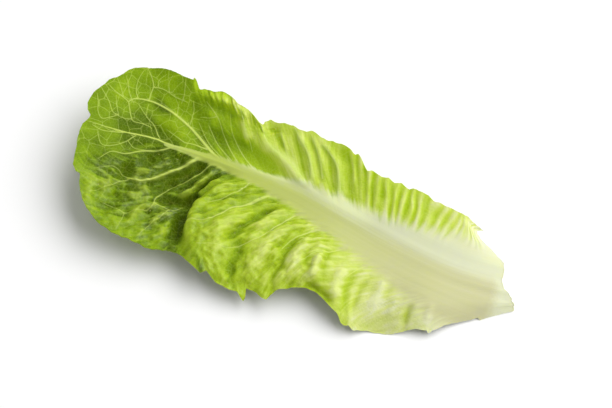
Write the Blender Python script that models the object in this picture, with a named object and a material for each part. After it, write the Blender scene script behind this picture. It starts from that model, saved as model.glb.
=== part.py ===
"""One romaine lettuce leaf, cut from its head and lying on its back.

The leaf is one grown piece: a broad pale midrib that tapers from the cut end to the tip, and a
thin blade on both sides of it. The blade's +Y side stands up like a wall. Its -Y side arches over
and droops, and its margin comes down to the surface at one place, so the leaf lies on that place
and on the flat underside of its midrib.

Frame: metres, +Z up, +X towards the cut end, -X towards the tip, origin under the middle of the
bounding box at the height of the surface.

The leaf is lofted from rows. A row is a cubic curve that leaves the midrib at a root and ends on
the margin. Rows are numbered by station, from 0 at the cut end of the +Y side, round the tip, to
the cut end of the -Y side.
"""

import bpy
import numpy as np

MM = 0.001

# Driving dimensions, in millimetres.
BLADE_THICKNESS = 0.6
COLUMNS_PER_SIDE = 74
ROW_STEPS = 13

# The margin, from the cut end to the tip: (x, y, z) at whole stations.
WALL_MARGIN = (
    (103, 19, 12), (93, 20, 16), (78, 22, 18), (61, 24, 20), (46, 26, 22), (29, 31, 24),
    (14, 35, 25), (-2, 36, 26), (-17, 37, 26), (-29, 35, 24), (-41, 38, 27), (-54, 42, 28),
    (-67, 42, 27), (-80, 45, 28), (-96, 46, 27), (-111, 40, 27), (-120, 27, 28), (-122, 10, 29),
)
TIP = (-121, -9, 30)
LOBE_MARGIN = (
    (131, -18, 2), (109, -33, 3), (86, -47, 5), (71, -53, 0), (55, -57, 4), (45, -55, 10),
    (28, -49, 14), (16, -55, 12), (5, -59, 9), (-8, -61, 9), (-22, -58, 12), (-34, -56, 15),
    (-47, -52, 13), (-59, -55, 15), (-76, -54, 17), (-93, -50, 20), (-106, -42, 23), (-116, -28, 27),
)
TIP_STATION = len(WALL_MARGIN)

# The midrib's upper face: its centreline from the cut end to where it melts into the tip.
RIB_LINE = (
    (124, -11, 6), (94, -13, 8), (60, -8, 8.2), (25, 0, 8), (0, 6, 8.6), (-25, 8, 10),
    (-50, 8.5, 13), (-77, 6.6, 17.5),
)
RIB_FRACTIONS = (0, 0.16, 0.33, 0.5, 0.62, 0.72, 0.85, 1)
RIB_HALF_WIDTHS = (14, 17, 14, 11, 8.5, 6, 4, 2)
RIB_DEPTHS = (6, 9, 9.6, 9.2, 8.6, 7, 4, 1.3)
ROOT_CROWDING = 1.5

# How a row bends between its root and the margin: (stations from the cut end, millimetres).
# A bow leans it towards the tip, and an arch lifts its first or second third.
WALL_BOW = ((0, -4), (2, 0), (7, 4), (9, 2), (14, 3), (18, 0))
WALL_ARCH = (
    ((0, -2), (2, -3.5), (5, -5.5), (9, -6.5), (14, -7), (18, -3)),
    ((0, -2), (4, -2), (7, -1.5), (10, -2), (12, 0), (18, 0)),
)
LOBE_BOW = ((0, -3), (3, 6), (8, 11), (10, 14), (11, 16), (12, 9), (13, 5), (15, 1), (18, 0))
LOBE_ARCH = (
    ((0, 0), (3, 2), (5, 0), (7, -1), (9, 1), (10, 2), (11, 0), (12, -8), (15, -9), (18, -3)),
    ((0, 0), (1, 3), (3, 10), (5, 10), (8, 12), (10, 13), (11, 11), (12, -3), (14, -4), (18, 0)),
)

LEAF_COLOR = (0.40, 0.52, 0.07, 1)
LEAF_ROUGHNESS = 0.45


def spline(points, places):
    """Return a Catmull-Rom curve through the points at the places, counted from 0."""
    points = np.asarray(points, float)
    places = np.clip(places, 0, len(points) - 1 - 1e-9)
    first = np.floor(places).astype(int)
    f = (places - first)[:, None]
    ends = np.concatenate([2 * points[:1] - points[1:2], points, 2 * points[-1:] - points[-2:-1]])
    a, b, c, d = (ends[first + k] for k in range(4))
    return b + 0.5 * f * (c - a + f * (2 * a - 5 * b + 4 * c - d + f * (3 * b - 3 * c + d - a)))


def rib_points(count=600):
    """Return points along the midrib's centreline, and each one's fraction of its length."""
    points = spline(RIB_LINE, np.linspace(0, len(RIB_LINE) - 1, count))
    steps = np.linalg.norm(np.diff(points, axis=0), axis=1)
    along = np.concatenate([[0], np.cumsum(steps)])
    return points, along / along[-1]


def rib_at(fractions):
    """Return the midrib's points at fractions of its length."""
    points, along = rib_points()
    return np.stack([np.interp(fractions, along, points[:, k]) for k in range(3)], axis=-1)


def both_sides(stations, wall, lobe):
    """Read a value on either side of the leaf from its two short tables."""
    from_cut = np.minimum(stations, 2 * TIP_STATION - stations)
    on_wall = np.interp(from_cut, *zip(*wall))
    on_lobe = np.interp(from_cut, *zip(*lobe))
    return np.where(stations <= TIP_STATION, on_wall, on_lobe)[:, None]


def upper_face(stations, steps):
    """Return the blade's upper face as a grid of points, one row of the leaf per column."""
    from_cut = np.minimum(stations, 2 * TIP_STATION - stations)
    roots = 1 - (1 - from_cut / TIP_STATION) ** ROOT_CROWDING
    margin = spline(WALL_MARGIN + (TIP,) + LOBE_MARGIN[::-1], stations)
    root = rib_at(roots)
    to_tip = rib_at(np.minimum(roots + 0.001, 1)) - rib_at(np.maximum(roots - 0.001, 0))
    to_tip[:, 2] = 0
    to_tip /= np.linalg.norm(to_tip, axis=1)[:, None]
    up = np.array((0, 0, 1))
    bow = both_sides(stations, WALL_BOW, LOBE_BOW) * to_tip
    arch = [both_sides(stations, *pair) * up for pair in zip(WALL_ARCH, LOBE_ARCH)]
    first = root + (margin - root) / 3 + bow * 4 / 3 + arch[0]
    second = root + (margin - root) * 2 / 3 + bow + arch[1]
    root, first, second, margin = (p[:, None] for p in (root, first, second, margin))
    t = steps[None, :, None]
    s = 1 - t
    grid = root * s**3 + 3 * first * s**2 * t + 3 * second * s * t**2 + margin * t**3
    grid[..., 2] = np.maximum(grid[..., 2], BLADE_THICKNESS)
    return grid


def unit_normals(grid):
    """Return the grid's unit normals, which both sides share along the midrib."""
    normals = np.cross(np.gradient(grid, axis=1), np.gradient(grid, axis=0))
    normals[:, 0] = normals[:, 1] + normals[::-1, 1]
    return normals / np.linalg.norm(normals, axis=-1, keepdims=True)


def thickness(grid):
    """Return how thick the leaf is below each point: the blade's, and a rounded keel at the rib."""
    points, along = rib_points()
    offsets = np.linalg.norm(grid[:, :, None] - points, axis=-1)
    nearest = offsets.argmin(axis=-1)
    fractions = along[nearest]
    across = offsets.min(axis=-1) / np.interp(fractions, RIB_FRACTIONS, RIB_HALF_WIDTHS)
    depth = np.interp(fractions, RIB_FRACTIONS, RIB_DEPTHS) - BLADE_THICKNESS
    return BLADE_THICKNESS + depth * np.clip(1 - across**2, 0, 1)


def lower_face(grid):
    """Return the leaf's lower face, flat where it lies on the surface."""
    below = grid - unit_normals(grid) * thickness(grid)[..., None]
    below[..., 2] = np.maximum(below[..., 2], 0)
    return below


def face_indices(columns, rows, first_vertex):
    """Number one face's vertices, where both sides share those along the midrib."""
    column, row = np.meshgrid(np.arange(columns), np.arange(rows), indexing="ij")
    shared = np.minimum(column, columns - 1 - column)
    own = (columns + 1) // 2 + column * (rows - 1) + row - 1
    return first_vertex + np.where(row == 0, shared, own)


def quads(corners):
    """Return the quads of a grid of vertex numbers."""
    around = (corners[:-1, :-1], corners[1:, :-1], corners[1:, 1:], corners[:-1, 1:])
    return np.stack(around, axis=-1).reshape(-1, 4)


def leaf_mesh():
    """Build the closed leaf: its upper and lower face, its margin and its cut end."""
    columns = 2 * COLUMNS_PER_SIDE + 1
    upper = upper_face(np.linspace(0, 2 * TIP_STATION, columns), np.linspace(0, 1, ROW_STEPS + 1))
    lower = lower_face(upper)
    on_rib = COLUMNS_PER_SIDE + 1
    vertices = [np.concatenate([face[:on_rib, 0], face[:, 1:].reshape(-1, 3)])
                for face in (upper, lower)]
    top = face_indices(columns, ROW_STEPS + 1, 0)
    bottom = face_indices(columns, ROW_STEPS + 1, len(vertices[0]))
    rim = np.concatenate([top[0], top[1:, -1], top[-1, -2::-1]])
    rim_below = np.concatenate([bottom[0], bottom[1:, -1], bottom[-1, -2::-1]])
    faces = np.concatenate([
        quads(top)[:, ::-1], quads(bottom), quads(np.stack([rim_below, rim], axis=1)),
    ])
    points = np.concatenate(vertices)
    middle = (points.min(axis=0) + points.max(axis=0)) / 2
    points -= (middle[0], middle[1], 0)
    mesh = bpy.data.meshes.new("leaf")
    mesh.from_pydata((points * MM).tolist(), [], faces.tolist())
    mesh.update()
    mesh.shade_smooth()
    return mesh


def leaf_material():
    """Make the leaf's matt green finish."""
    material = bpy.data.materials.new("leaf_tissue")
    material.use_nodes = True
    shader = material.node_tree.nodes["Principled BSDF"]
    shader.inputs["Base Color"].default_value = LEAF_COLOR
    shader.inputs["Roughness"].default_value = LEAF_ROUGHNESS
    shader.inputs["Metallic"].default_value = 0
    return material


def main():
    """Replace the scene's objects with the leaf."""
    for old in list(bpy.data.objects):
        bpy.data.objects.remove(old)
    leaf = bpy.data.objects.new("leaf", leaf_mesh())
    leaf.data.materials.append(leaf_material())
    bpy.context.collection.objects.link(leaf)


main()
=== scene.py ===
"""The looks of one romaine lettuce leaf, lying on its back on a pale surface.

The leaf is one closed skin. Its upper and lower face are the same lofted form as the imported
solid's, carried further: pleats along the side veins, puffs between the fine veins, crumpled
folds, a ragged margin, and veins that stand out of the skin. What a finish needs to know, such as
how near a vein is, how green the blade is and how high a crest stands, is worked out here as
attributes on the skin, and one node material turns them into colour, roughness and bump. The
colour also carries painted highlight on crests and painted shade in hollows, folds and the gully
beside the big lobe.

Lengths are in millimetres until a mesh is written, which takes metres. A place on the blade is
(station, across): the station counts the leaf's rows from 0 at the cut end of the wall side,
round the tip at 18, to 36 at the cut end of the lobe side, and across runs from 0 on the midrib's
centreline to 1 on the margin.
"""

import logging
import math
from dataclasses import dataclass, field
from enum import Enum, IntEnum

import bpy
import numpy as np
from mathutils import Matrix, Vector


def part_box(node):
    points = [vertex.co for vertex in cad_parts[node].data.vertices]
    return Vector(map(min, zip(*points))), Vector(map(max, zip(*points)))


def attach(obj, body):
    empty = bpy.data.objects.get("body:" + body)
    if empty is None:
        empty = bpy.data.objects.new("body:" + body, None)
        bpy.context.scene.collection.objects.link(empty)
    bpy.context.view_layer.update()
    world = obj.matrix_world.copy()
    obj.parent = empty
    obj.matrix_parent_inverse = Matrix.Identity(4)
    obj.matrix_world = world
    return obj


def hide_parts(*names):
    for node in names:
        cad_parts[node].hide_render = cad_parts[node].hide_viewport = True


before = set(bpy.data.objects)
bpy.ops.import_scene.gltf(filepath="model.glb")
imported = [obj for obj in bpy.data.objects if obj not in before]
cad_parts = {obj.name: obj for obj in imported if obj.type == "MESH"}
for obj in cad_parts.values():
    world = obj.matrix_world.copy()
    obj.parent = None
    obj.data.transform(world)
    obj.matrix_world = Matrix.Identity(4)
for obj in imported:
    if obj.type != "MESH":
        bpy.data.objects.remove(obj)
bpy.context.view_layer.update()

MM = 0.001
LOG = logging.getLogger("leaf")

Array = np.ndarray
Path2 = tuple[tuple[float, float], ...]
Path3 = tuple[tuple[float, float, float], ...]
Colour = tuple[float, float, float, float]
Stops = tuple[tuple[float, Colour], ...]


# --------------------------------------------------------------------------- small maths

def smooth(low: float, high: float, x: Array) -> Array:
    """Rise from 0 at low to 1 at high, level at both ends, or fall where low is the greater.

    Args:
        low: Where the rise starts.
        high: Where it ends.
        x: The values to read it at.

    Returns:
        3f^2 - 2f^3, where f is how far x is from low to high, held between 0 and 1.
    """
    f = np.clip((x - low) / (high - low), 0, 1)
    return f * f * (3 - 2 * f)


def bump(x: Array, width: Array | float) -> Array:
    """Return exp(-(x / width)^2), which is 1 at 0 and falls away on both sides."""
    return np.exp(-((x / width) ** 2))


def read(table: Path2, x: Array) -> Array:
    """Read a table of (place, value) stops at x, straight between its stops."""
    return np.interp(x, *zip(*table))


def catmull_rom(points: Array, places: Array) -> Array:
    """Read a Catmull-Rom curve.

    Args:
        points: The points that it passes through, one a row.
        places: Where to read it, counted in points from 0.

    Returns:
        One point for each place: the cubic through the two points around it, whose slopes there
        are half the step between their own neighbours.
    """
    points = np.asarray(points, float)
    places = np.clip(places, 0, len(points) - 1 - 1e-9)
    first = np.floor(places).astype(int)
    f = (places - first)[..., None]
    ends = np.concatenate([2 * points[:1] - points[1:2], points, 2 * points[-1:] - points[-2:-1]])
    a, b, c, d = (ends[first + k] for k in range(4))
    return b + 0.5 * f * (c - a + f * (2 * a - 5 * b + 4 * c - d + f * (3 * b - 3 * c + d - a)))


def unit(vectors: Array) -> Array:
    """Return the vectors at length 1."""
    return vectors / np.maximum(np.linalg.norm(vectors, axis=-1, keepdims=True), 1e-9)


class Seed(IntEnum):
    """Which random layout each pattern has."""

    WARP_X = 3
    WARP_Y = 4
    LUMPS = 5
    FOLDS = 6
    SWELL = 7
    RUFFLE = 8
    RIB = 9
    HUE = 10
    MARGIN = 11
    FRAY = 12
    PLEAT_PATH = 13
    PLEAT_HEIGHT = 14
    PUCKERS = 15
    HEM = 16
    BUMPS = 17
    TIP_CELLS = 21
    SIDE_CELLS = 22


class Noise:
    """Smooth noise between -1 and 1 on a plane, the same on each run."""

    SIZE = 256

    def __init__(self, seed: Seed) -> None:
        """Draw the noise's lattice of random values.

        Args:
            seed: Which noise.
        """
        noise = np.random.default_rng(int(seed))
        self.lattice = noise.uniform(-1, 1, (self.SIZE, self.SIZE))

    def __call__(self, x: Array, y: Array) -> Array:
        """Blend the four lattice values around each point with a quintic ease.

        Args:
            x: First coordinate, in lattice steps.
            y: Second coordinate, in lattice steps.

        Returns:
            The noise at each point.
        """
        i, j = np.floor(x).astype(int), np.floor(y).astype(int)
        f, g = (v * v * v * (v * (v * 6 - 15) + 10) for v in (x - i, y - j))
        low = self._at(i, j) * (1 - f) + self._at(i + 1, j) * f
        high = self._at(i, j + 1) * (1 - f) + self._at(i + 1, j + 1) * f
        return low * (1 - g) + high * g

    def _at(self, i: Array, j: Array) -> Array:
        """Return the lattice's values, repeated over the plane."""
        return self.lattice[i % self.SIZE, j % self.SIZE]

    def layers(self, x: Array, y: Array, count: int = 3) -> Array:
        """Add finer and weaker copies of the noise: each twice as fine and half as high.

        Args:
            x: First coordinate, in steps of the coarsest copy.
            y: Second coordinate.
            count: How many copies.

        Returns:
            Their sum.
        """
        return sum(self(x * 2**k + 17 * k, y * 2**k - 9 * k) / 2**k for k in range(count))

    def creases(self, x: Array, y: Array, count: int = 2) -> Array:
        """Add copies of 1 - 2|noise|, which has sharp crests where the noise crosses 0.

        Args:
            x: First coordinate, in steps of the coarsest copy.
            y: Second coordinate.
            count: How many copies.

        Returns:
            Their sum.
        """
        return sum((1 - 2 * np.abs(self(x * 2**k + 5 * k, y * 2**k + 13 * k))) / 2**k
                   for k in range(count))


class Cells:
    """A plane cut into cells, like the fine mesh of veins in a blade."""

    SIZE = 128
    JITTER = 0.42
    REACH = 2
    ROW = 1013.0

    def __init__(self, seed: Seed) -> None:
        """Set the cells' layout.

        Args:
            seed: Which layout.
        """
        noise = np.random.default_rng(int(seed))
        self.offsets = 0.5 + noise.uniform(-self.JITTER, self.JITTER, (self.SIZE, self.SIZE, 2))

    def _seed(self, i: Array, j: Array) -> Array:
        """Return the seed point of square (i, j)."""
        return self.offsets[i % self.SIZE, j % self.SIZE] + np.stack([i, j], axis=-1)

    def edge(self, x: Array, y: Array) -> Array:
        """Measure to the nearest cell edge, with opposite signs on an edge's two sides.

        Args:
            x: First coordinate, in cells.
            y: Second coordinate, in cells.

        Returns:
            For the nearest seed a and each other seed b, the distance to their bisector is
            (|p - b|^2 - |p - a|^2) / 2|b - a|. The least of these, signed by which square has
            the greater number.
        """
        point = np.stack([x, y], axis=-1)
        i, j = np.floor(x).astype(int), np.floor(y).astype(int)
        steps = range(-self.REACH, self.REACH + 1)
        around = [(i + a, j + b) for a in steps for b in steps]
        nearest = np.full(x.shape, np.inf)
        home = np.zeros(x.shape + (2,))
        home_number = np.zeros(x.shape)
        for a, b in around:
            seed = self._seed(a, b)
            gap = ((point - seed) ** 2).sum(axis=-1)
            closer = gap < nearest
            nearest = np.where(closer, gap, nearest)
            home = np.where(closer[..., None], seed, home)
            home_number = np.where(closer, a * self.ROW + b, home_number)
        least = np.full(x.shape, np.inf)
        for a, b in around:
            seed = self._seed(a, b)
            number = a * self.ROW + b
            apart = np.sqrt(((seed - home) ** 2).sum(axis=-1))
            gap = (((point - seed) ** 2).sum(axis=-1) - nearest) / (2 * np.maximum(apart, 1e-6))
            gap = np.where(number == home_number, np.inf, gap)
            least = np.where(gap < np.abs(least), gap * np.sign(number - home_number), least)
        return least


# --------------------------------------------------------------------------- the leaf's form

@dataclass(frozen=True)
class SideTable:
    """A value's few stops on the wall side and on the lobe side: (stations from the cut, value)."""

    wall: Path2
    lobe: Path2

    def __call__(self, stations: Array) -> Array:
        """Read the value, straight between its stops.

        Args:
            stations: Where to read it.

        Returns:
            The value at each station.
        """
        from_cut = np.minimum(stations, LeafForm.LAST - stations)
        return np.where(stations <= LeafForm.TIP, read(self.wall, from_cut),
                        read(self.lobe, from_cut))


@dataclass(frozen=True)
class LeafForm:
    """The leaf's large form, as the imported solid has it: a loft of cubic rows off the midrib."""

    TIP = 18
    LAST = 36
    NEARBY = 0.001
    COARSE_ROWS = 600
    COARSE_STEPS = 20

    wall_margin: Path3 = (
        (103, 19, 12), (93, 20, 16), (78, 22, 18), (61, 24, 20), (46, 26, 22), (29, 31, 24),
        (14, 35, 25), (-2, 36, 26), (-17, 37, 26), (-29, 35, 24), (-41, 38, 27), (-54, 42, 28),
        (-67, 42, 27), (-80, 45, 28), (-96, 46, 27), (-111, 40, 27), (-120, 27, 28),
        (-122, 10, 29),
    )
    tip_point: tuple[float, float, float] = (-121, -9, 30)
    lobe_margin: Path3 = (
        (131, -18, 2), (109, -33, 3), (86, -47, 5), (71, -53, 0), (55, -57, 4), (45, -55, 10),
        (28, -49, 14), (16, -55, 12), (5, -59, 9), (-8, -61, 9), (-22, -58, 12), (-34, -56, 15),
        (-47, -52, 13), (-59, -55, 15), (-76, -54, 17), (-93, -50, 20), (-106, -42, 23),
        (-116, -28, 27),
    )
    rib_line: Path3 = (
        (124, -11, 6), (94, -13, 8), (60, -8, 8.2), (25, 0, 8), (0, 6, 8.6), (-25, 8, 10),
        (-50, 8.5, 13), (-77, 6.6, 17.5),
    )
    rib_half_width: Path2 = (
        (0, 14), (0.16, 17), (0.33, 14), (0.5, 11), (0.62, 8.5), (0.72, 6), (0.85, 4), (1, 2),
    )
    rib_depth: Path2 = (
        (0, 6), (0.16, 9), (0.33, 9.6), (0.5, 9.2), (0.62, 8.6), (0.72, 7), (0.85, 4), (1, 1.3),
    )
    root_crowding: float = 1.5
    bow: SideTable = SideTable(
        ((0, -4), (2, 0), (7, 4), (9, 2), (14, 3), (18, 0)),
        ((0, -3), (3, 6), (8, 11), (10, 14), (11, 16), (12, 9), (13, 5), (15, 1), (18, 0)),
    )
    first_arch: SideTable = SideTable(
        ((0, -2), (2, -3.5), (5, -5.5), (9, -6.5), (14, -7), (18, -3)),
        ((0, 0), (3, 2), (5, 0), (7, -1), (9, 1), (10, 2), (11, 0), (12, -8), (15, -9), (18, -3)),
    )
    second_arch: SideTable = SideTable(
        ((0, -2), (4, -2), (7, -1.5), (10, -2), (12, 0), (18, 0)),
        ((0, 0), (1, 3), (3, 10), (5, 10), (8, 12), (10, 13), (11, 11), (12, -3), (14, -4),
         (18, 0)),
    )

    def rib_points(self, count: int = 600) -> tuple[Array, Array]:
        """Walk along the midrib's centreline.

        Args:
            count: How many points to give.

        Returns:
            The points, and each one's millimetres from the cut end.
        """
        points = catmull_rom(self.rib_line, np.linspace(0, len(self.rib_line) - 1, count))
        steps = np.linalg.norm(np.diff(points, axis=0), axis=1)
        return points, np.concatenate([[0], np.cumsum(steps)])

    def rib_at(self, fractions: Array) -> Array:
        """Find points of the midrib.

        Args:
            fractions: How far along it they are, as fractions of its length.

        Returns:
            One point for each fraction.
        """
        points, along = self.rib_points()
        places = fractions * along[-1]
        return np.stack([np.interp(places, along, points[:, k]) for k in range(3)], axis=-1)

    def roots(self, stations: Array) -> Array:
        """Return how far along the midrib each row starts, as a fraction of the midrib."""
        from_cut = np.minimum(stations, self.LAST - stations)
        return 1 - (1 - from_cut / self.TIP) ** self.root_crowding

    def rows(self, stations: Array) -> tuple[Array, ...]:
        """Work out the four control points of each row.

        Args:
            stations: The rows' stations.

        Returns:
            The root on the midrib, two points at thirds of the way, leaned towards the tip by
            the bow and lifted by the arches, and the point on the margin.
        """
        outline = self.wall_margin + (self.tip_point,) + self.lobe_margin[::-1]
        margin = catmull_rom(outline, stations)
        fractions = self.roots(stations)
        root = self.rib_at(fractions)
        ahead = self.rib_at(np.minimum(fractions + self.NEARBY, 1))
        to_tip = (ahead - self.rib_at(np.maximum(fractions - self.NEARBY, 0))) * (1, 1, 0)
        bow = self.bow(stations)[:, None] * unit(to_tip)
        lifts = [arch(stations)[:, None] * np.array((0, 0, 1.0))
                 for arch in (self.first_arch, self.second_arch)]
        first = root + (margin - root) / 3 + bow * 4 / 3 + lifts[0]
        second = root + (margin - root) * 2 / 3 + bow + lifts[1]
        return root, first, second, margin

    def face(self, stations: Array, across: Array) -> Array:
        """Loft the smooth upper face.

        Args:
            stations: One station for each row of the leaf.
            across: How far out on its row each point lies.

        Returns:
            The cubic Bezier curve of each row, read at its steps.
        """
        t = across[..., None]
        s = 1 - t
        root, first, second, margin = (p[:, None] for p in self.rows(stations))
        return root * s**3 + 3 * first * s**2 * t + 3 * second * s * t**2 + margin * t**3

    def points(self, path: Path2) -> Array:
        """Return the face's points at (station, across) places, one for each."""
        places = np.asarray(path, float)
        return self.face(places[:, 0], places[:, 1:2])[:, 0]

    def normals(self, grid: Array) -> Array:
        """Work out a grid's unit normals, which both sides share along the midrib.

        Args:
            grid: Points of the whole face, with the midrib first in each row.

        Returns:
            The cross product of the grid's two slopes, at length 1.
        """
        normals = np.cross(np.gradient(grid, axis=1), np.gradient(grid, axis=0))
        normals[:, 0] = normals[:, 1] + normals[::-1, 1]
        return unit(normals)

    def shift(self) -> Array:
        """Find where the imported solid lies.

        Returns:
            The move, in millimetres, that brings the form's middle over the solid's.
        """
        stations = np.linspace(0, self.LAST, self.COARSE_ROWS)
        across = np.tile(np.linspace(0, 1, self.COARSE_STEPS), (self.COARSE_ROWS, 1))
        grid = self.face(stations, across).reshape(-1, 3)
        low, high = (np.array(corner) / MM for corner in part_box("leaf"))
        middle = (low + high) / 2 - (grid.min(axis=0) + grid.max(axis=0)) / 2
        return middle * (1, 1, 0)


# --------------------------------------------------------------------------- veins and creases

@dataclass(frozen=True)
class Vein:
    """A vein: its path over the blade, its half-width at both ends, and how far it stands up."""

    path: Path2
    start: float
    end: float
    height: float = 0.25

    def sample(self, form: LeafForm, step: float = 0.4) -> tuple[Array, Array, Array]:
        """Walk along the vein on the smooth face.

        Args:
            form: The leaf's form.
            step: Millimetres between samples.

        Returns:
            The samples' points, their half-widths, and their heights.
        """
        runs = np.linalg.norm(np.diff(form.points(self.path), axis=0), axis=1)
        count = max(4, int(float(runs.sum()) / step))
        points = form.points(catmull_rom(self.path, np.linspace(0, len(self.path) - 1, count)))
        half = self.start + (self.end - self.start) * np.linspace(0, 1, count)
        return points, half, np.full(count, self.height)


@dataclass(frozen=True)
class Crease:
    """A crest of the blade, or with a negative height a furrow, along a path."""

    STEP = 0.9
    END_SHARE = 0.35
    EASE = 0.25
    REACH = 2.4

    height: float
    width: float
    path: Path2

    def add_to(self, rise: Array, grid: Array, form: LeafForm) -> None:
        """Add the crease to the relief.

        Args:
            rise: The relief, which is changed: height * exp(-(d / width)^2) is added, where d
                is the distance to the path, with the height easing in and out at its ends.
            grid: The smooth face's points.
            form: The leaf's form.
        """
        points, _, _ = Vein(self.path, 0, 0).sample(form, self.STEP)
        along = np.linspace(0, 1, len(points))
        ease = smooth(0, self.EASE, along) * smooth(1, 1 - self.EASE, along)
        ease = self.END_SHARE + (1 - self.END_SHARE) * ease
        reach = self.REACH * self.width
        low, high = points.min(axis=0) - reach, points.max(axis=0) + reach
        near = ((grid > low) & (grid < high)).all(axis=-1)
        gaps = np.linalg.norm(grid[near][:, None] - points, axis=-1)
        nearest = gaps.argmin(axis=1)
        gap = gaps[np.arange(len(gaps)), nearest]
        rise[near] += self.height * ease[nearest] * bump(gap, self.width)


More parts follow.
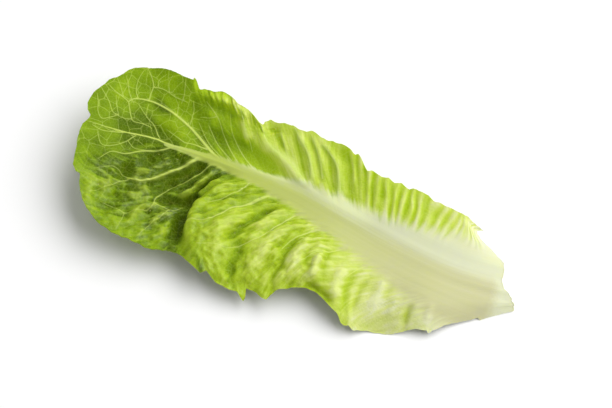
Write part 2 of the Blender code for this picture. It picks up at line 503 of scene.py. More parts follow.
VEINS = (
    # The midrib's own continuation to the tip, and its forks.
    Vein(((16.5, 0.02), (16.7, 0.14), (17.1, 0.24), (17.5, 0.43), (17.6, 0.66),
          (17.6, 0.9)), 1.0, 0.2, 0.5),
    Vein(((17.5, 0.45), (17.7, 0.56), (17.8, 0.72), (17.7, 0.84)), 0.35, 0.18),
    Vein(((17.6, 0.36), (18.1, 0.42), (18.4, 0.55), (18.4, 0.69), (18.0, 0.76)), 0.3, 0.18),
    Vein(((18.1, 0.42), (18.6, 0.34), (18.8, 0.25)), 0.25, 0.15),
    # The strong vein of the wall side's tip, and what branches off it.
    Vein(((12.8, 0.06), (13.1, 0.2), (13.5, 0.35), (14.1, 0.48), (14.7, 0.58), (15.1, 0.63),
          (15.6, 0.68), (15.9, 0.68)), 0.95, 0.28, 0.5),
    Vein(((15.0, 0.62), (14.8, 0.68), (14.5, 0.77), (14.4, 0.87), (14.4, 0.99)), 0.36, 0.25),
    Vein(((14.5, 0.77), (14.1, 0.75), (13.7, 0.69), (13.3, 0.68)), 0.3, 0.2),
    Vein(((14.3, 0.77), (14.2, 0.84), (13.9, 0.91)), 0.22, 0.15),
    Vein(((13.9, 0.72), (13.8, 0.83), (13.6, 0.92)), 0.22, 0.15),
    Vein(((13.4, 0.68), (13.2, 0.78), (13.0, 0.95)), 0.26, 0.2),
    Vein(((15.9, 0.68), (15.95, 0.76), (16.0, 0.85), (16.0, 0.93)), 0.3, 0.2),
    Vein(((15.9, 0.68), (16.1, 0.62), (16.5, 0.52), (16.5, 0.47), (16.2, 0.4),
          (16.0, 0.35)), 0.32, 0.22),
    Vein(((16.5, 0.52), (16.7, 0.57), (16.8, 0.63)), 0.24, 0.16),
    Vein(((15.4, 0.67), (15.3, 0.74), (15.0, 0.84), (14.6, 0.95)), 0.28, 0.18),
    Vein(((15.7, 0.68), (15.6, 0.75), (15.4, 0.84), (15.3, 0.91)), 0.24, 0.16),
    Vein(((15.9, 0.76), (15.7, 0.86), (15.6, 0.94)), 0.2, 0.15),
    Vein(((16.8, 0.66), (16.8, 0.73), (16.5, 0.83), (16.3, 0.97)), 0.28, 0.2),
    Vein(((16.8, 0.65), (16.5, 0.72), (16.2, 0.79)), 0.2, 0.15),
    Vein(((16.8, 0.66), (17.1, 0.72), (17.3, 0.79), (17.1, 0.87), (16.8, 0.92),
          (16.6, 0.97)), 0.25, 0.16),
    Vein(((16.1, 0.22), (15.7, 0.33), (15.7, 0.44), (15.6, 0.58)), 0.34, 0.18),
    Vein(((15.7, 0.46), (15.4, 0.53), (15.2, 0.57)), 0.22, 0.15),
    Vein(((14.0, 0.46), (13.9, 0.51), (13.7, 0.6)), 0.28, 0.16),
    Vein(((13.6, 0.37), (13.3, 0.47), (13.0, 0.6), (12.9, 0.69)), 0.3, 0.18),
    Vein(((13.2, 0.14), (13.9, 0.14), (14.6, 0.13), (14.9, 0.18), (15.1, 0.26)), 0.4, 0.16),
    # The wall side's folded stretch.
    Vein(((11.4, 0.16), (11.6, 0.4), (11.6, 0.6), (11.7, 0.7), (12.0, 0.8)), 0.3, 0.25),
    Vein(((11.7, 0.67), (12.1, 0.62), (12.5, 0.58)), 0.26, 0.18),
    Vein(((11.8, 0.14), (12.2, 0.31), (12.3, 0.48)), 0.3, 0.16),
    Vein(((10.2, 0.45), (10.15, 0.55), (10.2, 0.62), (10.2, 0.75), (10.25, 0.9)), 0.25, 0.4),
    Vein(((10.5, 0.14), (10.9, 0.3), (11.1, 0.5), (11.0, 0.75)), 0.3, 0.16),
    Vein(((12.4, 0.1), (12.8, 0.25), (12.9, 0.45)), 0.3, 0.16),
    Vein(((7.45, 0.16), (7.7, 0.32), (8.05, 0.45), (8.4, 0.55), (8.8, 0.63), (9.1, 0.74),
          (9.15, 0.88)), 1.1, 0.4, 0.3),
    Vein(((8.15, 0.58), (8.2, 0.7), (8.25, 0.86)), 0.3, 0.25),
    Vein(((7.35, 0.28), (7.1, 0.45), (7.05, 0.6), (7.2, 0.75), (7.45, 0.86),
          (7.6, 0.95)), 0.8, 0.4),
    Vein(((6.65, 0.5), (6.65, 0.65), (6.8, 0.82), (6.95, 0.93)), 0.6, 0.35),
    Vein(((6.05, 0.3), (5.95, 0.5), (5.97, 0.68), (6.15, 0.78), (6.5, 0.88)), 1.1, 0.5),
    # The lobe side's tip.
    Vein(((19.6, 0.0), (19.3, 0.12), (18.9, 0.27), (18.9, 0.44), (18.7, 0.58),
          (18.9, 0.7)), 0.6, 0.18, 0.35),
    Vein(((22.0, 0.02), (21.8, 0.1), (21.5, 0.2), (21.2, 0.3), (20.9, 0.4), (20.65, 0.47),
          (20.2, 0.53)), 1.15, 0.4, 0.7),
    Vein(((20.3, 0.53), (20.2, 0.62), (20.2, 0.73), (20.1, 0.88)), 0.3, 0.15, 0.35),
    Vein(((20.3, 0.53), (19.8, 0.54), (19.4, 0.6), (19.3, 0.75)), 0.3, 0.15, 0.35),
    Vein(((22.9, 0.06), (22.75, 0.15), (22.4, 0.26), (22.1, 0.36), (21.9, 0.5), (22.1, 0.62),
          (21.8, 0.72), (21.5, 0.8)), 0.42, 0.26, 0.45),
    Vein(((21.5, 0.8), (21.1, 0.81), (20.7, 0.85)), 0.25, 0.15),
    Vein(((21.5, 0.8), (21.6, 0.86), (21.7, 0.95)), 0.25, 0.15),
    Vein(((22.1, 0.58), (22.6, 0.57), (23.0, 0.57), (23.4, 0.5)), 0.32, 0.2, 0.35),
    Vein(((22.8, 0.58), (22.7, 0.68), (22.5, 0.8), (22.4, 0.93)), 0.3, 0.16),
    # The big lobe and the last stretch to the cut end.
    Vein(((25.7, 0.09), (25.8, 0.2), (25.6, 0.32), (25.2, 0.44)), 0.5, 0.15),
    Vein(((26.9, 0.1), (26.7, 0.2), (26.5, 0.3), (26.2, 0.38), (26.0, 0.48), (25.5, 0.6),
          (25.0, 0.65)), 1.1, 0.25),
    Vein(((28.5, 0.14), (28.3, 0.28), (28.1, 0.38), (27.7, 0.54), (27.1, 0.65),
          (26.6, 0.73)), 0.75, 0.18),
    Vein(((25.4, 0.82), (26.0, 0.77), (26.6, 0.73)), 0.25, 0.15),
    Vein(((29.8, 0.2), (29.4, 0.34), (29.0, 0.46), (28.7, 0.6)), 0.6, 0.18),
    Vein(((30.8, 0.3), (30.5, 0.45), (30.0, 0.62), (29.5, 0.76)), 0.5, 0.15),
    Vein(((31.8, 0.36), (31.5, 0.5), (31.2, 0.66)), 0.5, 0.15),
)

CREASES = (
    # The smooth stretch at the wall side's tip.
    Crease(-2.2, 4, ((15.6, 0.12), (15.8, 0.25), (15.9, 0.38))),
    Crease(1.6, 5, ((14.0, 0.2), (14.4, 0.33), (14.7, 0.45))),
    Crease(-1.4, 3.5, ((16.6, 0.25), (16.9, 0.45), (17.1, 0.62))),
    Crease(-1.0, 3, ((18.3, 0.2), (18.5, 0.4))),
    Crease(0.8, 6, ((16.2, 0.72), (15.5, 0.78))),
    Crease(-1.0, 4, ((12.9, 0.55), (12.8, 0.75))),
    Crease(-0.8, 3, ((13.4, 0.2), (13.0, 0.4))),
    # The folded stretch.
    Crease(-2.2, 5, ((12.6, 0.25), (12.0, 0.35), (11.0, 0.4), (10.2, 0.35), (9.4, 0.27),
                     (8.8, 0.2))),
    Crease(2.4, 3.4, ((10.25, 0.82), (10.3, 0.65), (10.15, 0.52))),
    Crease(2.0, 2.8, ((12.5, 0.92), (11.8, 0.9), (11.2, 0.9), (10.4, 0.92), (9.6, 0.93))),
    Crease(-1.4, 2.6, ((12.7, 0.76), (12.0, 0.8), (11.3, 0.77), (10.6, 0.75))),
    Crease(0.8, 2.6, ((12.0, 0.72), (11.6, 0.62))),
    Crease(-1.2, 2.6, ((12.1, 0.5), (12.2, 0.3))),
    Crease(2.3, 3.6, ((9.45, 0.97), (9.4, 0.85), (9.3, 0.72), (9.05, 0.62), (8.7, 0.54),
                      (8.4, 0.45), (8.05, 0.32), (7.8, 0.2))),
    Crease(-1.5, 3, ((8.6, 0.93), (8.6, 0.82))),
    Crease(0.7, 1.2, ((8.3, 0.88), (8.2, 0.72), (8.15, 0.6))),
    Crease(-0.8, 1.5, ((8.5, 0.8), (8.4, 0.66))),
    Crease(-0.9, 1.8, ((7.8, 0.88), (7.65, 0.7), (7.6, 0.5), (7.5, 0.35))),
    Crease(1.1, 1.9, ((7.5, 0.93), (7.45, 0.86), (7.2, 0.75), (7.05, 0.6), (7.1, 0.45),
                      (7.3, 0.33))),
    Crease(-0.8, 1.6, ((7.15, 0.9), (6.95, 0.8), (6.85, 0.65), (6.8, 0.45), (6.85, 0.33))),
    Crease(0.8, 1.6, ((6.95, 0.95), (6.85, 0.86), (6.65, 0.74), (6.6, 0.58))),
    Crease(-1.0, 1.9, ((6.6, 0.9), (6.4, 0.78), (6.3, 0.65), (6.3, 0.45), (6.4, 0.3))),
    Crease(1.2, 1.8, ((6.7, 0.96), (6.5, 0.88), (6.15, 0.78), (5.98, 0.7), (5.95, 0.55),
                      (6.0, 0.4))),
    Crease(-1.0, 2.6, ((5.75, 0.92), (5.6, 0.75), (5.6, 0.55), (5.6, 0.4))),
    # The lobe side's crumpled tip.
    Crease(1.2, 1.8, ((21.9, 0.04), (21.75, 0.1), (21.5, 0.2), (21.2, 0.3), (20.95, 0.4),
                      (20.65, 0.47), (20.2, 0.53))),
    Crease(-2.2, 3, ((19.6, 0.12), (19.6, 0.2), (19.7, 0.29))),
    Crease(-1.6, 2.5, ((21.0, 0.05), (20.9, 0.12))),
    Crease(1.0, 1.8, ((20.3, 0.12), (20.2, 0.18))),
    Crease(0.9, 1.8, ((20.7, 0.14), (20.6, 0.2))),
    Crease(-1.0, 1.6, ((21.2, 0.12), (21.0, 0.2), (20.7, 0.3))),
    Crease(1.5, 2.2, ((20.4, 0.3), (20.2, 0.4), (20.3, 0.48))),
    Crease(-3.0, 2.8, ((22.6, 0.05), (22.4, 0.13), (22.2, 0.22), (21.9, 0.32), (21.9, 0.4))),
    Crease(-2.0, 1.8, ((22.9, 0.2), (22.75, 0.3), (22.4, 0.4))),
    Crease(2.8, 1.8, ((23.4, 0.12), (23.3, 0.22), (23.1, 0.32), (22.9, 0.4), (22.7, 0.44))),
    Crease(-1.6, 1.4, ((24.0, 0.12), (23.85, 0.22), (23.75, 0.33), (23.6, 0.42))),
    Crease(2.6, 1.6, ((24.45, 0.12), (24.3, 0.22), (24.15, 0.32), (24.0, 0.42))),
    Crease(-2.5, 2.2, ((24.0, 0.42), (23.4, 0.46), (22.8, 0.46), (22.3, 0.5), (21.9, 0.52))),
    Crease(1.0, 2.0, ((21.4, 0.45), (21.1, 0.52))),
    Crease(-1.6, 2.6, ((22.0, 0.64), (22.2, 0.7))),
    Crease(2.0, 1.8, ((22.1, 0.6), (21.8, 0.66), (21.75, 0.74), (21.9, 0.82))),
    Crease(2.0, 1.6, ((22.75, 0.62), (22.6, 0.7), (22.5, 0.77))),
    Crease(-1.2, 2.4, ((21.1, 0.7), (21.0, 0.76))),
    Crease(1.5, 2.5, ((21.5, 0.6), (21.1, 0.62), (20.8, 0.62))),
    Crease(1.0, 3.0, ((23.3, 0.62), (23.2, 0.75), (23.0, 0.88))),
    Crease(-1.2, 1.6, ((19.5, 0.45), (19.8, 0.52), (20.0, 0.6))),
    Crease(-1.0, 1.6, ((20.6, 0.55), (20.7, 0.62), (20.6, 0.7))),
    Crease(1.5, 4.0, ((20.2, 0.68), (19.9, 0.8))),
    # The big lobe, from the fold that hangs over the tip's edge.
    Crease(-2.0, 3.0, ((24.0, 0.3), (24.0, 0.45), (24.0, 0.6), (23.9, 0.75), (23.9, 0.9))),
    Crease(2.0, 3.5, ((24.6, 0.4), (24.75, 0.5), (24.8, 0.6), (24.7, 0.75), (24.6, 0.88))),
    Crease(0.8, 1.5, ((25.3, 0.12), (25.2, 0.2), (25.0, 0.3))),
    Crease(-0.7, 1.5, ((26.9, 0.17), (26.6, 0.27), (26.2, 0.38), (25.9, 0.5), (25.4, 0.61),
                       (25.0, 0.65))),
    Crease(1.5, 4.0, ((26.6, 0.35), (26.4, 0.45), (26.15, 0.6), (26.05, 0.75), (26.0, 0.88))),
    Crease(-2.0, 2.2, ((27.45, 0.18), (27.3, 0.3), (27.0, 0.45), (26.8, 0.55), (26.5, 0.67))),
    Crease(-2.0, 2.5, ((27.1, 0.65), (26.95, 0.75), (26.75, 0.85), (26.7, 0.95))),
    Crease(1.4, 2.0, ((27.85, 0.22), (27.6, 0.3), (27.5, 0.42), (27.35, 0.5))),
    Crease(-0.6, 1.5, ((28.5, 0.18), (28.2, 0.3), (28.0, 0.42), (27.6, 0.56), (27.1, 0.65),
                       (26.6, 0.73))),
    Crease(1.2, 3.0, ((28.7, 0.35), (28.4, 0.45), (28.1, 0.55), (27.9, 0.68), (27.6, 0.8),
                      (27.6, 0.92))),
    Crease(-2.0, 2.0, ((29.3, 0.4), (29.05, 0.5), (28.9, 0.6), (28.75, 0.75), (28.45, 0.87),
                       (28.3, 0.95))),
    Crease(1.4, 2.5, ((29.6, 0.45), (29.4, 0.6), (29.3, 0.72), (29.3, 0.85))),
    Crease(-1.0, 1.6, ((29.9, 0.55), (29.75, 0.68), (29.8, 0.8))),
    Crease(1.8, 2.0, ((30.3, 0.55), (30.15, 0.7), (30.1, 0.82), (29.9, 0.88))),
    Crease(-1.0, 1.8, ((30.8, 0.32), (30.5, 0.45), (30.4, 0.6), (30.4, 0.8))),
    Crease(-1.5, 2.5, ((29.6, 0.97), (30.3, 0.96), (30.8, 0.97))),
    # The last stretch to the cut end.
    Crease(1.6, 3.0, ((31.2, 0.5), (31.0, 0.65), (30.9, 0.8), (31.0, 0.9))),
    Crease(-1.2, 2.0, ((31.7, 0.45), (31.5, 0.6), (31.45, 0.75), (31.5, 0.9))),
    Crease(-1.0, 1.6, ((32.15, 0.45), (32.05, 0.6), (31.95, 0.75), (31.85, 0.9))),
    Crease(1.0, 3.0, ((32.6, 0.4), (32.6, 0.6), (32.5, 0.85))),
    Crease(0.5, 2.0, ((33.2, 0.6), (33.1, 0.85))),
    Crease(-1.0, 2.0, ((33.7, 0.6), (33.6, 0.8), (33.6, 0.95))),
    Crease(1.0, 2.0, ((34.2, 0.55), (34.2, 0.75), (34.2, 0.92))),
)

MARGIN_EXCESS = (
    (0, -1.5), (0.5, -0.5), (1, 0), (1.5, -0.5), (2, 0), (2.3, -0.8), (2.5, 0.6), (2.8, 0.5),
    (3, 0.5), (3.2, -1.5), (3.5, -0.4), (3.75, -1.5), (4, -0.5), (4.1, -1.8), (4.25, -3),
    (4.6, -3.2), (4.75, -5), (4.9, -3.3), (5, -0.3), (5.15, 0.8), (5.3, -1), (5.5, 0.8), (6, -0.3),
    (6.25, 0), (6.4, -1), (6.6, -0.6), (6.8, 0), (7, 0.2), (7.2, -1), (7.5, -1.5), (8, -0.5),
    (8.3, -0.6), (8.7, 1.6), (8.95, 0), (9.08, -3), (9.3, -2.5), (9.5, -1), (10, -0.5), (10.5, 0),
    (11, 0.3), (11.5, 0), (12, -0.4), (12.22, -1.6), (12.3, -2), (12.36, 3.2), (12.46, 3.4),
    (12.56, 0.8), (12.7, 0.3), (13, 0), (13.5, 0.3), (14, 0), (14.33, -0.2), (14.36, -1.4),
    (14.4, 0), (15, -0.2), (15.3, -1), (15.6, -1.5), (16, -0.5), (16.25, 0.3), (16.6, 1.6),
    (17, 0.8), (17.2, -0.8), (17.3, -3.6), (17.4, -4), (17.55, -3.3), (17.75, -1.5), (18, -1.7),
    (18.5, -2), (19, -1), (19.25, -2), (19.35, -4), (19.6, -2.5), (20, -1), (20.3, -0.3),
    (20.6, 0.8), (21, 1), (21.5, 1.5), (22, 0.7), (23, 0), (23.6, -0.4), (23.7, 0.3), (24, 1),
    (24.5, 0), (24.8, 0.5), (25.05, 2), (25.25, 3), (25.5, 0.7), (25.6, -1), (25.8, 1), (26, 3),
    (26.3, 2), (26.6, 1), (27, -0.5), (27.1, 2), (27.2, 4), (27.3, 2), (27.38, -3.5), (27.6, -2.5),
    (27.8, -1.5), (28, 0.5), (28.2, 1.4), (28.35, -1), (28.6, -3), (28.8, -3.5), (29.3, -3),
    (29.6, -1.2), (30, 0), (31, 0), (31.1, 1), (31.2, 3.5), (31.3, 2.5), (31.5, 2), (31.7, 0.5),
    (32, 1.5), (32.2, 0), (32.5, -0.8), (33, 0.3), (33.5, 0), (34, 0), (34.15, 1), (34.25, 1.5),
    (34.3, 3.8), (34.36, 2), (34.6, 0), (35, 0), (35.25, -0.5), (35.32, 1.6), (35.5, 1.2), (36, 0),
)


class Trait(Enum):
    """The attributes that carry what the material reads, each a vector but for UNDER."""

    FLAT = "flat"
    VEIN = "vein"
    NET = "net"
    TONE = "tone"
    GRAIN = "grain"
    UNDER = "under"


@dataclass(frozen=True)
class Pleats:
    """The run of narrow pleats down the wall side, each along a side vein.

    crests holds each pleat's station and height. A pleat leans over the rows by lean stations
    for each step across, and is at its own station at the level.
    """

    crests: Path2 = (
        (-0.5, 0.2), (-0.1, 0.3), (0.25, 0.4), (0.55, 0.4), (0.85, 0.45), (1.1, 0.5), (1.35, 0.5),
        (1.6, 0.6), (1.85, 0.7), (2.15, 0.7), (2.45, 0.8), (2.85, 0.9), (3.1, 0.7), (3.4, 0.7),
        (3.75, 0.9), (4.1, 0.9), (4.4, 0.7), (4.75, 1.0), (5.05, 0.6), (5.35, 0.5), (5.8, 0.3),
    )
    lean: Path2 = ((0, 1.8), (1.5, 1.4), (3, 0.8), (4, 0.45), (5, 0.1), (6, 0), (7, -0.3))
    level: float = 0.8
    wander: float = 0.1
    patch_mean: float = 0.8
    patch_spread: float = 0.7

    def place(self, stations: Array, across: Array) -> Array:
        """Find the leaned station, which stays the same along a pleat.

        Args:
            stations: The points' stations.
            across: How far out they are.

        Returns:
            The station plus the lean times the steps from the level, wandering a little.
        """
        lean = read(self.lean, stations) * (across - self.level)
        return stations + lean + self.wander * Noise(Seed.PLEAT_PATH)(stations * 2, across * 3)

    def wave(self, stations: Array, across: Array) -> Array:
        """Work out how high the pleats stand.

        Args:
            stations: The points' stations.
            across: How far out they are.

        Returns:
            The crest height there times cos(2 pi n), where n counts the crests, weakened and
            strengthened in patches along each pleat.
        """
        place = self.place(stations, across)
        crests, heights = zip(*self.crests)
        count = np.interp(place, crests, np.arange(len(crests)))
        patches = Noise(Seed.PLEAT_HEIGHT)(count * 0.9, across * 4)
        strength = self.patch_mean + self.patch_spread * patches
        return np.interp(place, crests, heights) * strength * np.cos(2 * math.pi * count)


class VeinField:
    """How far each point of the leaf is from the nearest vein."""

    PARTS = 60

    def __init__(self, form: LeafForm, veins: tuple[Vein, ...]) -> None:
        """Sample every vein.

        Args:
            form: The leaf's form.
            veins: All its veins.
        """
        samples = [vein.sample(form) for vein in veins]
        self.points, self.halves, self.heights = (np.concatenate(part) for part in zip(*samples))
        self.tangents = np.concatenate([unit(np.gradient(s[0], axis=0)) for s in samples])

    def measure(self, grid: Array, normals: Array) -> dict[str, Array]:
        """Find each point's nearest vein.

        Args:
            grid: The points.
            normals: The skin's normals there.

        Returns:
            side: the distance across that vein, negative on its left; gap: the plain distance;
            half: the vein's half-width there; height: how far it stands up.
        """
        flat = grid.reshape(-1, 3)
        parts = np.array_split(flat, self.PARTS)
        nearest = np.concatenate([self._nearest(part) for part in parts])
        offset = flat - self.points[nearest]
        sideways = np.cross(self.tangents[nearest], normals.reshape(-1, 3))
        values = {"side": (offset * sideways).sum(axis=-1),
                  "gap": np.linalg.norm(offset, axis=-1),
                  "half": self.halves[nearest], "height": self.heights[nearest]}
        return {name: value.reshape(grid.shape[:2]) for name, value in values.items()}

    def _nearest(self, points: Array) -> Array:
        """Find the sample that is nearest to each point.

        Args:
            points: The points, one a row.

        Returns:
            The samples' numbers: where |b|^2 - 2ab is least, b being the sample.
        """
        middle = self.points.mean(axis=0)
        a = (points - middle).astype(np.float32)
        b = (self.points - middle).astype(np.float32)
        return ((b * b).sum(axis=1) - 2 * a @ b.T).argmin(axis=1)


# --------------------------------------------------------------------------- places on the leaf

@dataclass(frozen=True)
class PaleBand:
    """How wide the pale, thick midrib shows on both sides: (fraction of its length, width)."""

    wall: Path2 = (
        (0, 27), (0.16, 24), (0.33, 15.5), (0.5, 11), (0.62, 7.2), (0.72, 4.8), (0.85, 3.4),
        (1, 1.2),
    )
    lobe: Path2 = (
        (0, 34), (0.16, 27), (0.33, 17), (0.5, 12.5), (0.62, 9.3), (0.72, 5.6), (0.85, 3.2),
        (1, 1.1),
    )

    def __call__(self, fractions: Array, on_wall: Array) -> Array:
        """Return the band's half-width in millimetres on either side."""
        return np.where(on_wall, read(self.wall, fractions), read(self.lobe, fractions))


@dataclass(frozen=True)
class Stretches:
    """How much each point belongs to each stretch of the leaf, from 0 to 1.

    Down the wall side come the pleated lower stretch, the middle, the folded stretch and the
    smooth tip. The lobe side has the crumpled tip and the big lobe, whose last part is the end.
    """

    lower_wall: Array
    middle_wall: Array
    fold_wall: Array
    tip_wall: Array
    tip_lobe: Array
    lobe: Array
    end_lobe: Array

    @classmethod
    def at(cls, u: Array) -> "Stretches":
        """Work the stretches out.

        Args:
            u: The points' stations.

        Returns:
            Each stretch's share, rising and falling smoothly between two stations.
        """
        return cls(
            lower_wall=smooth(6.3, 5.4, u),
            middle_wall=smooth(5.4, 6.2, u) * smooth(9.5, 8.5, u),
            fold_wall=smooth(8.5, 9.5, u) * smooth(12.8, 12.0, u),
            tip_wall=smooth(12.0, 13.0, u) * smooth(19.2, 18.2, u),
            tip_lobe=smooth(18.4, 19.6, u) * smooth(24.6, 23.9, u),
            lobe=smooth(24.2, 25.0, u),
            end_lobe=smooth(29.5, 31.5, u),
        )


@dataclass(frozen=True)
class Strength:
    """How strong a kind of relief is on each stretch, and how much of it the lobe's end loses."""

    tip_lobe: float
    lobe: float
    end_loss: float
    fold_wall: float
    middle_wall: float
    tip_wall: float
    lower_wall: float

    def over(self, parts: Stretches) -> Array:
        """Add the stretches up.

        Args:
            parts: How much each point belongs to each stretch.

        Returns:
            The sum of each stretch's strength, times its share.
        """
        lobe = self.lobe * parts.lobe * (1 - self.end_loss * parts.end_lobe)
        wall = (self.fold_wall * parts.fold_wall + self.middle_wall * parts.middle_wall
                + self.tip_wall * parts.tip_wall + self.lower_wall * parts.lower_wall)
        return self.tip_lobe * parts.tip_lobe + lobe + wall


@dataclass(frozen=True)
class Places:
    """Where each point of the skin's grid lies on the leaf, in millimetres but for the first two.

    u and across are its station and how far out on its row it is. along is the distance down the
    midrib from the cut end, and rib_gap the distance off the midrib's centreline. out is the
    distance along its row, x and y lie on the unrolled blade, and lean goes across the side
    veins, which slant over the rows.
    """

    PARTS = 40
    RIB_STEP = 4
    LOBE_LEAN = 4.0
    ROW_GAP = 13.0

    u: Array
    across: Array
    on_wall: Array
    along: Array
    fraction: Array
    rib_gap: Array
    out: Array
    x: Array
    y: Array
    lean: Array

    @classmethod
    def on(cls, form: LeafForm, pleats: Pleats, u: Array, across: Array, face: Array) -> "Places":
        """Work the places out.

        Args:
            form: The leaf's form.
            pleats: The pleats, which the wall side's veins run along.
            u: The points' stations.
            across: How far out on its row each one is.
            face: The points of the smooth face.

        Returns:
            The places. A row keeps its direction over the table and its length along the skin
            where the blade is unrolled.
        """
        rib_points, rib_along = form.rib_points()
        parts = np.array_split(face, cls.PARTS)
        gaps = np.concatenate([cls._rib_gap(part, rib_points) for part in parts])
        along = rib_along[gaps[..., 1].astype(int)]
        on_wall = u <= form.TIP
        steps = np.linalg.norm(np.diff(face, axis=1), axis=-1)
        out = np.concatenate([np.zeros((len(face), 1)), np.cumsum(steps, axis=1)], axis=1)
        plan = unit((face - face[:, :1]) * (1, 1, 0) + 1e-9)
        flat = face[:, :1, :2] + plan[..., :2] * out[..., None]
        lean = np.where(on_wall, pleats.place(u, across), u + cls.LOBE_LEAN * across)
        return cls(u, across, on_wall, along, along / rib_along[-1], gaps[..., 0], out,
                   flat[..., 0], flat[..., 1], lean * cls.ROW_GAP)

    @classmethod
    def _rib_gap(cls, points: Array, rib_points: Array) -> Array:
        """Measure to the midrib's centreline.

        Args:
            points: A grid of points.
            rib_points: Points along the centreline.

        Returns:
            Each point's distance to the nearest one, and that one's number.
        """
        gaps = np.linalg.norm(points[:, :, None] - rib_points[::cls.RIB_STEP], axis=-1)
        return np.stack([gaps.min(axis=-1), gaps.argmin(axis=-1) * float(cls.RIB_STEP)], axis=-1)


# --------------------------------------------------------------------------- the skin

@dataclass
class Relief:
    """How far the upper skin stands off the smooth face, and how high its crests stand, which the
    finish paints as highlight on crests and shade in hollows.
    """

    rise: Array
    crest: Array

    def add(self, shape: Array, rise: Array | float, crest: Array | float = 0.0) -> None:
        """Add a shape to both, each at its own strength."""
        self.rise += rise * shape
        self.crest += crest * shape


